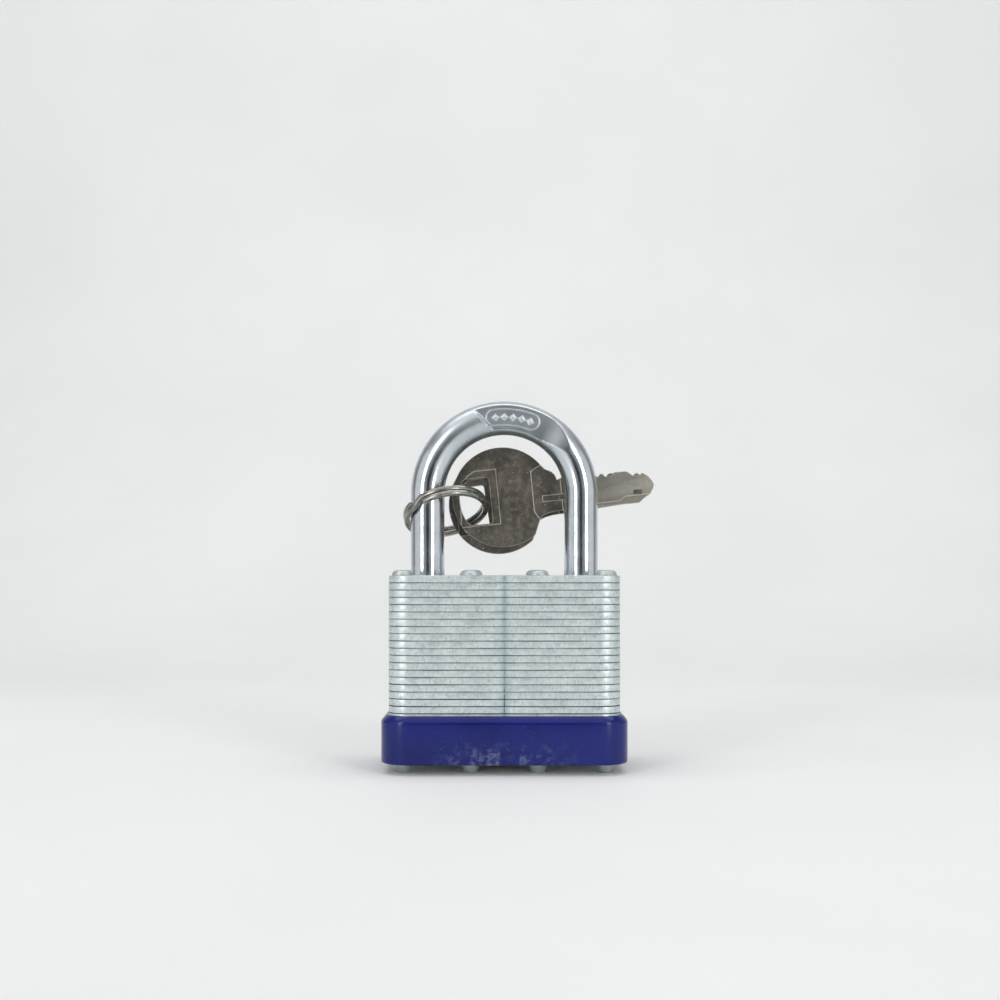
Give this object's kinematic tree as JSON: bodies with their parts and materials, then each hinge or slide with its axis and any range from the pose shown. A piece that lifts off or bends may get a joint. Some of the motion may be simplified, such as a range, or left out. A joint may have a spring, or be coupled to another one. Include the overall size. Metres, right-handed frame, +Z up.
{
  "type": "laminated padlock",
  "caption": "Laminated steel padlock with a blue plastic bumper round its foot, a round chrome shackle, and two keys on a split ring.",
  "frame": {"origin": "centre of the lock's base, in the plane that the rivet feet stand on", "axes": "+X across the width towards the short leg of the shackle, -Y the front, +Z up along the shackle's legs"},
  "size_m": [0.0605, 0.0312, 0.0812],
  "materials": {
    "zinc_plate": "satin",
    "zinc_rivet": "satin",
    "blue_plastic": "gloss",
    "chrome_bar": "mirror",
    "spring_steel": "satin",
    "hard_steel": "satin",
    "brass": "satin",
    "ring_steel": "gloss",
    "key_nickel": "satin"
  },
  "bodies": {
    "lock_body": {"plate_01": "zinc_plate", "plate_02": "zinc_plate", "plate_03": "zinc_plate", "plate_04": "zinc_plate", "plate_05": "zinc_plate", "plate_06": "zinc_plate", "plate_07": "zinc_plate", "plate_08": "zinc_plate", "plate_09": "zinc_plate", "plate_10": "zinc_plate", "plate_11": "zinc_plate", "plate_12": "zinc_plate", "plate_13": "zinc_plate", "plate_14": "zinc_plate", "plate_15": "zinc_plate", "plate_16": "zinc_plate", "plate_17": "zinc_plate", "plate_18": "zinc_plate", "plate_19": "zinc_plate", "plate_20": "zinc_plate", "plate_21": "zinc_plate", "plate_22": "zinc_plate", "plate_23": "zinc_plate", "plate_24": "zinc_plate", "plate_25": "zinc_plate", "plate_26": "zinc_plate", "bumper": "blue_plastic", "rivets": "zinc_rivet", "shackle_spring": "spring_steel", "cylinder_housing": "brass", "driver_pin_1": "hard_steel", "driver_pin_2": "hard_steel", "driver_pin_3": "hard_steel", "driver_pin_4": "hard_steel", "pin_spring_1": "spring_steel", "pin_spring_2": "spring_steel", "pin_spring_3": "spring_steel", "pin_spring_4": "spring_steel", "spring_cover": "brass", "latch_spring": "spring_steel"},
    "shackle": {"shackle": "chrome_bar"},
    "plug": {"plug": "brass", "cam_disc": "brass", "key_pin_1": "brass", "key_pin_2": "brass", "key_pin_3": "brass", "key_pin_4": "brass"},
    "latch_left": {"latch_left": "hard_steel"},
    "latch_right": {"latch_right": "hard_steel"},
    "split_ring": {"split_ring": "ring_steel"},
    "key_1": {"key_1": "key_nickel"},
    "key_2": {"key_2": "key_nickel"}
  },
  "joints": [
    {"name": "shackle_lift", "type": "slide", "parent": "lock_body", "child": "shackle", "axis": [0, 0, 1], "range_m": [0, 0.0153], "deforming": ["shackle_spring"]},
    {"name": "plug_turn", "type": "hinge", "parent": "lock_body", "child": "plug", "pos_m": [0, 0, 0.0024], "axis": [0, 0, 1], "range_deg": [-90, 0]},
    {"name": "latch_right_slide", "type": "slide", "parent": "lock_body", "child": "latch_right", "axis": [1, 0, 0], "range_m": [0, 0.00195], "deforming": ["latch_spring"]},
    {"name": "latch_left_slide", "type": "slide", "parent": "lock_body", "child": "latch_left", "axis": [-1, 0, 0], "range_m": [0, 0.0013], "deforming": ["latch_spring"]},
    {"name": "ring_swivel", "type": "hinge", "parent": "shackle", "child": "split_ring", "pos_m": [-0.0171, 0, 0.0569], "axis": [0, 0, 1], "range_deg": [0, 100]},
    {"name": "key_1_swing", "type": "hinge", "parent": "split_ring", "child": "key_1", "pos_m": [-0.005, 0.00495, 0.05725], "axis": [0, -1, 0], "range_deg": [-22, 60]},
    {"name": "key_2_swing", "type": "hinge", "parent": "split_ring", "child": "key_2", "pos_m": [-0.0069, 0.00695, 0.0557], "axis": [0, -1, 0], "range_deg": [-18, 60]}
  ],
  "couplings": [
    {"joint": "latch_right_slide", "follows": "plug_turn", "m_per_rad": -0.0012096},
    {"joint": "latch_left_slide", "follows": "plug_turn", "m_per_rad": -0.00079577}
  ]
}
